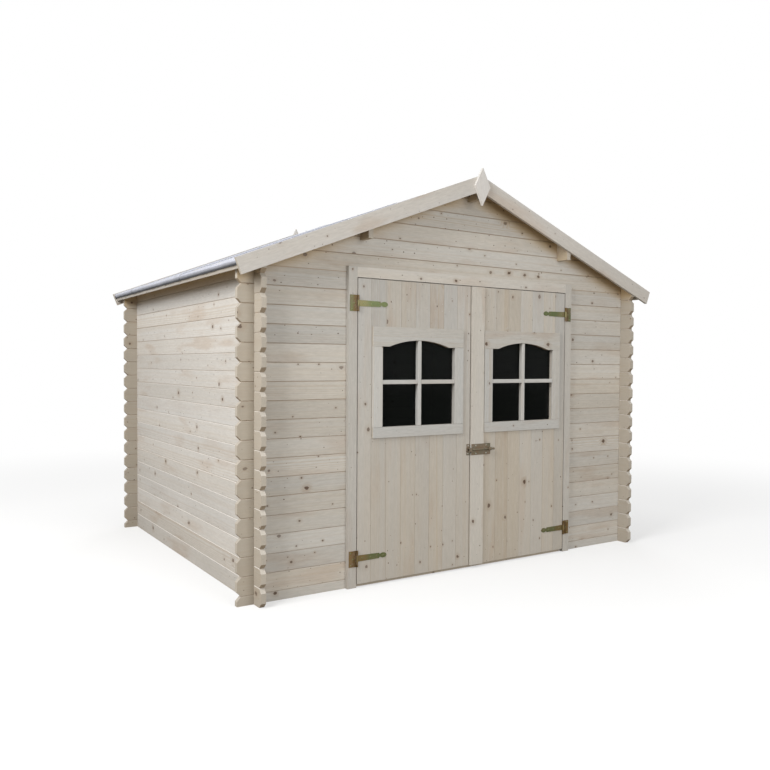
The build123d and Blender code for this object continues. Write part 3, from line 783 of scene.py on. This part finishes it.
class LayFelt(bpy.types.Operator):
    """Lays the felt in three widths and nails it down"""
    bl_idname = "shed.lay_felt"
    bl_label = "Lay the felt"

    def execute(self, context):
        finish = felt_finish("felt", edge("front_felt", "Z", 0))
        self.sheet("front_felt", False, finish)
        self.sheet("middle_felt", True, finish)
        self.sheet("back_felt", False, finish)
        for side, sign in SIDES.items():
            self.nail_down(side, sign)
        return {"FINISHED"}

    def sheet(self, node, laps, finish):
        """One width of felt over the ridge, bent over the eaves in a slack roll, with slight ripples."""
        s = sizes()
        low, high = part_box(node)
        down, out = roof_slope(1)
        boards = [v.co for v in nodes["right_roof_boards"].data.vertices]
        crest = max(out.dot(corner) for corner in boards) / out.z
        reach = max(down.dot(corner) for corner in boards) - down.dot(Vector((0, 0, crest)))
        profile = self.profile(reach)
        ramp, lap_rise, length_step = 0.02, 0.003, 0.035
        clear, ripple, slack = 0.0002, 0.0004, 0.0012
        shell = bmesh.new()
        count = round((high.y - low.y) / length_step)
        rows = []
        for n in range(count + 1):
            y = low.y + (high.y - low.y) * n / count
            lift = 0.0
            if laps:
                into = min(y - low.y, high.y - y) - s.felt_lap
                lift = 1 - max(0, min(1, into / ramp))
            row = []
            for side in (-1, 1):
                for along, above, turn in profile if side > 0 else reversed(profile):
                    wave = ripple + ripple * math.sin(19 * y + 3 * along + side)
                    roll = (1 + math.sin(13 * y + 1.7 * side) * math.sin(31 * y)) * slack * math.sin(turn)
                    rise = clear + lift * lap_rise + wave
                    along += (rise + roll) * math.sin(turn)
                    spot = down * along + out * (above + rise * math.cos(turn))
                    row.append(shell.verts.new((side * spot.x, y, crest + spot.z)))
            rows.append(row)
        for first, second in zip(rows, rows[1:]):
            for n in range(len(first) - 1):
                face = shell.faces.new((first[n], second[n], second[n + 1], first[n + 1]))
                face.smooth = True
        sheet = mesh_piece(node + "_sheet", shell, "shed", "felt", finish)
        body = sheet.modifiers.new("Felt thickness", "SOLIDIFY")
        body.thickness = s.felt_thickness
        body.offset = 1
        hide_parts(node)

    @staticmethod
    def profile(reach):
        """Points down one slope from the ridge: the way along it, the height over it and the turn there."""
        s = sizes()
        flat = reach - s.felt_bend
        points = [(share * flat, 0.0, 0.0) for share in (0.0015, 0.02, 0.2, 0.4, 0.6, 0.8, 0.92, 1.0)]
        radius = s.felt_bend + s.felt_proud
        for n in range(1, 7):
            turn = n * math.pi / 12
            points.append((flat + radius * math.sin(turn), radius * (math.cos(turn) - 1), turn))
        for drop in (0.006, 0.012, s.felt_drop):
            points.append((reach + s.felt_proud, -radius - drop, math.pi / 2))
        return points

    def nail_down(self, side, sign):
        """Flat nails down both edges and both laps, and along the eaves."""
        s = sizes()
        down, out = roof_slope(sign)
        ridge = Vector((0, 0, edge("middle_felt", "Z", 1)))
        front, back = edge("front_felt", "Y", 0), edge("back_felt", "Y", 1)
        reach = edge("middle_felt", "X", 1) / abs(down.x)
        edge_inset, slope_inset, eave_inset, end_inset, stand_off = 0.03, 0.06, 0.035, 0.05, 0.05
        lines = [front, edge("middle_felt", "Y", 0), edge("back_felt", "Y", 0)]
        lines = [y + edge_inset for y in lines] + [back - edge_inset]
        count = int((reach - 2 * slope_inset) / s.clout_spacing) + 1
        places = [(y, distance) for y in lines for distance in spread(0, reach, slope_inset, count)]
        count = int((back - front - 2 * end_inset) / s.clout_spacing) + 1
        places += [(y, reach - eave_inset) for y in spread(front, back, end_inset, count)]
        shell = bmesh.new()
        for y, distance in places:
            start = ridge + down * distance + out * stand_off + Y * y
            spots = [strike(felt, start, -out) for felt in ("front_felt", "middle_felt", "back_felt")]
            spots = [spot for spot in spots if spot]
            if spots:
                fastener(shell, max(spots, key=out.dot), out, s.clout_radius, CLOUT_HEIGHT)
        mesh_piece(side + "_clouts", shell, "shed", "hinge", bpy.data.materials["clouts"])


class BoardDoors(bpy.types.Operator):
    """Splits each door leaf into separate planks"""
    bl_idname = "shed.board_doors"
    bl_label = "Board the doors"

    def execute(self, context):
        c, s = colours(), sizes()
        for side, sign in SIDES.items():
            node = side + "_door_boards"
            meeting = min(edge(node, "X", 0), edge(node, "X", 1), key=abs)
            finish = timber(
                "door_planks_" + side, c.door, Z, X, pitch=s.door_plank, start=meeting - 10 * s.door_plank,
                seed=21.0 + sign, knots=0.9, warmth=0.6, seam=0.38, patchy=0.85, foot=1.3)
            boards = mesh_piece(
                side + "_door_planks", into_boards(node, X, meeting, s.door_plank), side + "_leaf", "door",
                finish, bevel=s.plank_edge)
            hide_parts(node)
            ledges = timber(
                "ledges_" + side, c.front_log, X, Z, pitch=0.5, start=0.0, seed=31.0 + sign, knots=0.8)
            give(ledges, side + "_door_ledges")
        return {"FINISHED"}


class FrameDoorway(bpy.types.Operator):
    """Gives the doorway's frame and the cover strip their timber"""
    bl_idname = "shed.frame_doorway"
    bl_label = "Frame the doorway"

    def execute(self, context):
        c = colours()
        upright = timber(
            "frame_uprights", c.frame, Z, X, pitch=0.7, start=-0.35, seed=41.0, knots=0.6, warmth=0.3)
        give(upright, "left_jamb", "right_jamb")
        strip = timber(
            "cover_strip", c.front_log, Z, X, pitch=0.7, start=-0.35, seed=44.0, knots=0.5, warmth=0.3)
        give(strip, "cover_strip")
        head = timber("frame_head", c.front_log, X, Z, pitch=0.9, start=0.0, seed=42.0, knots=1.1)
        give(head, "door_head")
        give(timber("threshold", c.warm, X, Z, pitch=0.9, start=0.0, seed=43.0, knots=0.6), "threshold")
        return {"FINISHED"}


class TrimWindows(bpy.types.Operator):
    """Builds the window trim of separate lengths, with bars across the glass"""
    bl_idname = "shed.trim_windows"
    bl_label = "Trim the windows"

    def execute(self, context):
        c, s = colours(), sizes()
        upright = timber(
            "trim_uprights", c.trim, Z, X, pitch=0.21, start=0.0, seed=51.0, knots=0.6, warmth=0.25)
        level = timber("trim_levels", c.trim, X, Z, pitch=0.3, start=0.0, seed=52.0, knots=0.6, warmth=0.25)
        inner = timber("window_frames", c.front_log, Z, X, pitch=0.3, start=0.0, seed=53.0, knots=0.6)
        for side in SIDES:
            glass_low, glass_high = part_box(side + "_window_glass")
            wide = (glass_low.x + s.glass_rebate, glass_high.x - s.glass_rebate)
            tall = (glass_low.z + s.glass_rebate, glass_high.z - s.glass_rebate)
            self.lay_trim(side, tall, upright, level)
            give(inner, side + "_window_frame")
            self.set_bars(side, wide, tall, glass_low.y - BAR_GAP, upright, level)
        return {"FINISHED"}

    @staticmethod
    def lay_trim(side, tall, upright, level):
        """Cuts the trim into a bottom and a top rail with two posts between them."""
        s = sizes()
        node = side + "_window_trim"
        body = side + "_leaf"
        low, high = edge(node, "Z", 0), edge(node, "Z", 1)
        bottom, shoulder = tall[0], tall[1] - s.arch_rise
        past = 0.001
        whole = node_shell(node)
        rails = bmesh.new()
        gather(rails, slice_between(whole, Z, low - past, bottom - JOINT_GAP))
        gather(rails, slice_between(whole, Z, shoulder + JOINT_GAP, high + past))
        posts = bmesh.new()
        gather(posts, slice_between(whole, Z, bottom + JOINT_GAP, shoulder - JOINT_GAP))
        whole.free()
        rails_piece = mesh_piece(side + "_trim_rails", rails, body, "trim", level, bevel=s.trim_edge)
        posts_piece = mesh_piece(side + "_trim_posts", posts, body, "trim", upright, bevel=s.trim_edge)
        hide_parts(node)
        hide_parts(node)

    @staticmethod
    def set_bars(side, wide, tall, back, upright, level):
        """An upright bar in the middle of the window, and a level one in two lengths against it."""
        s = sizes()
        body = side + "_leaf"
        (left, right), (bottom, top) = wide, tall
        centre = (left + right) / 2
        crossing = bottom + (top - bottom) * s.bar_share
        half = s.bar_width / 2
        butt = 0.0001
        front = edge(side + "_window_trim", "Y", 0) + s.bar_setback
        bar = bmesh.new()
        block(bar, (centre - half, front, bottom + BAR_GAP), (centre + half, back, top - 2 * BAR_GAP))
        mesh_piece(side + "_bar_upright", bar, body, "trim", upright, bevel=s.bar_edge)
        bar = bmesh.new()
        for start, stop in ((left + BAR_GAP, centre - half - butt), (centre + half + butt, right - BAR_GAP)):
            block(bar, (start, front + s.bar_step, crossing - half), (stop, back, crossing + half))
        mesh_piece(side + "_bar_level", bar, body, "trim", level, bevel=s.bar_edge)


class GlazeWindows(bpy.types.Operator):
    """Gives the panes their glass"""
    bl_idname = "shed.glaze_windows"
    bl_label = "Glaze the windows"

    def execute(self, context):
        give(glass_finish("glass"), "left_window_glass", "right_window_glass")
        return {"FINISHED"}


class FitIronwork(bpy.types.Operator):
    """Finishes the hinges and the bolt and screws them on"""
    bl_idname = "shed.fit_ironwork"
    bl_label = "Fit the ironwork"

    def execute(self, context):
        c = colours()
        straps = metal_finish(
            "strap_zinc", c.zinc, worn=0.08, rough=0.40, root=(0.70, 0.785, c.strap_root, 0.60))
        plates = metal_finish(
            "plate_zinc", [v * 0.82 for v in c.zinc], worn=0.15, rough=0.42,
            root=(0.838, 0.812, c.plate_root, 0.95))
        bolt = metal_finish("bolt_zinc", c.bolt, worn=0.14, rough=0.42)
        give(straps, "left_hinge_straps", "right_hinge_straps")
        give(plates, "left_hinge_plates", "right_hinge_plates")
        give(bolt, "bolt_plate", "bolt_rod", "bolt_keep")
        for side, sign in SIDES.items():
            strap_node, plate_node = side + "_hinge_straps", side + "_hinge_plates"
            heights = (edge(strap_node, "Z", 0) + STRAP_HALF, edge(strap_node, "Z", 1) - STRAP_HALF)
            tip = sign * min(abs(corner.x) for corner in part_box(strap_node))
            spots = [(tip + sign * along, height) for height in heights for along in STRAP_SCREWS]
            self.drive(side + "_strap_screws", side + "_leaf", "hinge", "screws", strap_node, spots)
            outer = max(abs(corner.x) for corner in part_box(plate_node))
            spots = [
                (sign * (outer - across), height + up) for height in heights for across, up in PLATE_SCREWS]
            self.drive(side + "_plate_screws", "shed", "hinge", "screws", plate_node, spots)
        spots = self.corners("bolt_plate")
        self.drive("bolt_screws", "right_leaf", "bolt", "bolt_screws", "bolt_plate", spots)
        low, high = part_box("bolt_keep")
        spots = [((low.x + high.x) / 2, z) for _, z in self.corners("bolt_keep")[:2]]
        self.drive("keep_screws", "left_leaf", "bolt", "bolt_screws", "bolt_keep", spots)
        return {"FINISHED"}

    @staticmethod
    def corners(node):
        """Places of screws in the corners of a bolt's plate."""
        along, up = BOLT_SCREW_INSET
        low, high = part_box(node)
        return [(x, z) for x in (low.x + along, high.x - along) for z in (low.z + up, high.z - up)]

    @staticmethod
    def drive(name, body, slot, finish, node, spots):
        """Puts screws on the front face of a piece of ironwork."""
        places = []
        for x, z in spots:
            spot = strike(node, (x, IN_FRONT, z), Y)
            if spot is None:
                raise RuntimeError(f"nothing of {node} at {x:.3f}, {z:.3f}")
            places.append((x, spot.y, z))
        fasteners(name, body, slot, finish, places, -Y, sizes().screw_radius, SCREW_HEIGHT, True)


class NailTimber(bpy.types.Operator):
    """Nails the planks, casings, trim and barge boards"""
    bl_idname = "shed.nail_timber"
    bl_label = "Nail the timber"

    def execute(self, context):
        for side, sign in SIDES.items():
            spots = self.ledge_nails(side) + self.trim_nails(side)
            if side == "right":
                spots += self.strip_nails()
            places = [self.on_timber(side, x, z) for x, z in spots]
            self.nail(side + "_door_nails", side + "_leaf", places, -Y)
            self.nail(side + "_casing_nails", "shed", self.casing_nails(side, sign), -Y)
            for end, facing in (("front", -Y), ("back", Y)):
                places = self.barge_nails(f"{end}_barge_{side}", sign, facing)
                self.nail(f"{end}_{side}_barge_nails", "shed", places, facing)
        return {"FINISHED"}

    @staticmethod
    def nail(name, body, places, facing):
        places = [place for place in places if place]
        fasteners(name, body, "hinge", "nails", places, facing, sizes().nail_radius, NAIL_HEIGHT)

    @staticmethod
    def ledge_nails(side):
        """Two nails, one over the other, every half plank across each ledge."""
        first, ledge_middle, apart = 0.025, 0.045, 0.02
        low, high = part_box(side + "_door_boards")
        ledge_low, ledge_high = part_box(side + "_door_ledges")
        spots = []
        x = low.x + first
        while x < high.x:
            for z in (ledge_low.z + ledge_middle, ledge_high.z - ledge_middle):
                spots += [(x, z - apart), (x, z + apart)]
            x += sizes().door_plank / 2
        return spots

    @staticmethod
    def trim_nails(side):
        inset, rail = 0.03, 0.028
        low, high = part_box(side + "_window_trim")
        spots = [
            (x, z) for x in (low.x + inset, high.x - inset) for z in spread(low.z, high.z, inset, 5)]
        for x in spread(low.x, high.x, inset, 5)[1:4]:
            spots += [(x, low.z + rail), (x, high.z - inset)]
        return spots

    @staticmethod
    def strip_nails():
        first = 0.06
        low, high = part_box("cover_strip")
        spots = []
        z = low.z + first
        while z < high.z:
            spots.append(((low.x + high.x) / 2, z))
            z += sizes().strip_nails
        return spots

    @staticmethod
    def casing_nails(side, sign):
        node = side + "_jamb"
        inset, foot, head, gaps = 0.027, 0.06, 0.08, 6
        low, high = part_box(node)
        x = low.x + inset if sign < 0 else high.x - inset
        heights = [foot + n * (high.z - foot - head) / gaps for n in range(gaps + 1)]
        return [strike(node, (x, IN_FRONT, z), Y) for z in heights]

    @staticmethod
    def barge_nails(node, sign, facing):
        """Pairs of nails along a barge board."""
        stand_off, lifts = 0.3, (-0.025, 0.022)
        down, out = roof_slope(sign)
        corners = [v.co for v in nodes[node].data.vertices]
        centre = sum(corners, Vector()) / len(corners)
        places = []
        for n in range(-3, 4):
            for lift in lifts:
                start = centre + down * (n * sizes().barge_nails) + out * lift + facing * stand_off
                places.append(strike(node, start, -facing))
        return places

    @staticmethod
    def on_timber(side, x, z):
        """The spot on the frontmost piece of a leaf, if that is timber and not glass or iron."""
        timbers = [side + "_door_boards", side + "_window_trim", "cover_strip"]
        parts = timbers[:2] + [side + "_window_glass", side + "_hinge_straps"]
        parts += ["cover_strip", "bolt_plate", "bolt_rod"] if side == "right" else ["bolt_keep"]
        spots = {part: strike(part, (x, IN_FRONT, z), Y) for part in parts}
        spots = {part: spot for part, spot in spots.items() if spot}
        front = min(spots, key=lambda part: spots[part].y, default=None)
        return spots[front] if front in timbers else None


class SetStage(bpy.types.Operator):
    """Puts the shed on a pale floor in soft light, seen at the photograph's angle"""
    bl_idname = "shed.set_stage"
    bl_label = "Set the stage"

    def execute(self, context):
        self.lay_floor()
        self.paint_sky()
        light = context.scene.shed_light
        self.hang_lamp("left_softbox", (-6.6, -2.6, 4.6), 3.4, light.left)
        self.hang_lamp("front_softbox", (0.3, -7.5, 2.2), 4.0, light.front)
        self.hang_lamp("top_softbox", (0.0, 0.0, 8.0), 5.0, light.top)
        self.hang_lamp("back_softbox", (5.5, 6.5, 3.6), 4.0, light.back)
        self.place_camera()
        context.scene.view_settings.view_transform = "Standard"
        return {"FINISHED"}

    @staticmethod
    def lay_floor():
        """A floor that keeps the shed's shadow and fades to white in the distance."""
        c = colours()
        half_width, below_ground = 30, 0.0005
        shell = bmesh.new()
        bmesh.ops.create_grid(shell, x_segments=1, y_segments=1, size=half_width)
        mesh = bpy.data.meshes.new("floor")
        shell.to_mesh(mesh)
        shell.free()
        floor = bpy.data.objects.new("floor", mesh)
        floor.location.z = -below_ground
        bpy.context.scene.collection.objects.link(floor)
        f = Finish(bpy.data.materials.new("floor"))
        place = f.place()
        ray = f.node("ShaderNodeLightPath", output="Is Camera Ray")
        away = (f.along(place, X) ** 2 + f.along(place, Y) ** 2) ** 0.5
        seen = ray * (0.50 + 0.50 * f.fade(away, 2.2, 7.0))
        face = f.shade(f.mix(ray, c.floor_bounce, c.floor), 0.99 + f.noise(place, 0.8, 3.0) * 0.02)
        matte = f.node("ShaderNodeBsdfDiffuse", sockets={"Color": face})
        glow = f.node("ShaderNodeEmission", sockets={"Color": WHITE, "Strength": 1.0})
        mesh.materials.append(f.close(f.node("ShaderNodeMixShader", sockets={0: seen, 1: matte, 2: glow})))

    @staticmethod
    def paint_sky():
        """A sky that is white where it is seen, and dimmer where it only lights the shed."""
        level = bpy.context.scene.shed_light.sky
        f = Finish(bpy.data.worlds.new("studio"))
        ray = f.node("ShaderNodeLightPath", output="Is Camera Ray")
        seen = ray.sum("MAXIMUM", ray.other("Is Transmission Ray")).sum("MAXIMUM", ray.other("Is Glossy Ray"))
        strength = level + seen * (1 - level)
        glow = f.node("ShaderNodeBackground", sockets={"Color": WHITE, "Strength": strength})
        bpy.context.scene.world = f.close(glow, "ShaderNodeOutputWorld")

    @staticmethod
    def hang_lamp(name, place, size, watts):
        """A square softbox aimed at the middle of the shed."""
        target = Vector((0, 0, 1.1))
        light = bpy.data.lights.new(name, "AREA")
        light.shape = "SQUARE"
        light.size = size
        light.energy = watts
        lamp = bpy.data.objects.new(name, light)
        lamp.location = place
        lamp.rotation_euler = (target - Vector(place)).to_track_quat("-Z", "Y").to_euler()
        bpy.context.scene.collection.objects.link(lamp)

    @staticmethod
    def place_camera():
        yaw, pitch, roll = (math.radians(angle) for angle in CAMERA_TURN)
        forward = Vector((math.sin(yaw) * math.cos(pitch), math.cos(yaw) * math.cos(pitch), math.sin(pitch)))
        level_right = Vector((math.cos(yaw), -math.sin(yaw), 0))
        level_up = level_right.cross(forward)
        right = level_right * math.cos(roll) + level_up * math.sin(roll)
        up = level_up * math.cos(roll) - level_right * math.sin(roll)
        turn = Matrix((right, up, -forward)).transposed().to_4x4()
        lens = bpy.data.cameras.new("camera")
        lens.lens = CAMERA_LENS
        lens.sensor_width = SENSOR_WIDTH
        lens.sensor_fit = "HORIZONTAL"
        camera = bpy.data.objects.new("camera", lens)
        camera.matrix_world = Matrix.Translation(CAMERA_PLACE) @ turn
        bpy.context.scene.collection.objects.link(camera)
        bpy.context.scene.camera = camera


class ShedPanel(bpy.types.Panel):
    """Lists the shed's steps and settings"""
    bl_idname = "VIEW3D_PT_shed"
    bl_label = "Log shed"
    bl_space_type = "VIEW_3D"
    bl_region_type = "UI"
    bl_category = "Shed"

    def draw(self, context):
        for step in STEPS:
            self.layout.operator(step.bl_idname)
        scene = context.scene
        for settings in (scene.shed_sizes, scene.shed_colours, scene.shed_light):
            for name in settings.__annotations__:
                self.layout.prop(settings, name)


SETTINGS = {"shed_sizes": ShedSizes, "shed_colours": ShedColours, "shed_light": ShedLight}
STEPS = (
    MixMetals, FinishLogs, FinishRoofTimber, LayRoofBoards, LayFelt, BoardDoors, FrameDoorway, TrimWindows,
    GlazeWindows, FitIronwork, NailTimber, SetStage)
CLASSES = (*SETTINGS.values(), *STEPS, ShedPanel)


def register():
    for kind in CLASSES:
        bpy.utils.register_class(kind)
    for name, group in SETTINGS.items():
        setattr(bpy.types.Scene, name, PointerProperty(type=group))


def unregister():
    for name in SETTINGS:
        delattr(bpy.types.Scene, name)
    for kind in reversed(CLASSES):
        bpy.utils.unregister_class(kind)


def main():
    register()
    for step in STEPS:
        group, action = step.bl_idname.split(".")
        getattr(getattr(bpy.ops, group), action)()


if __name__ == "__main__":
    main()
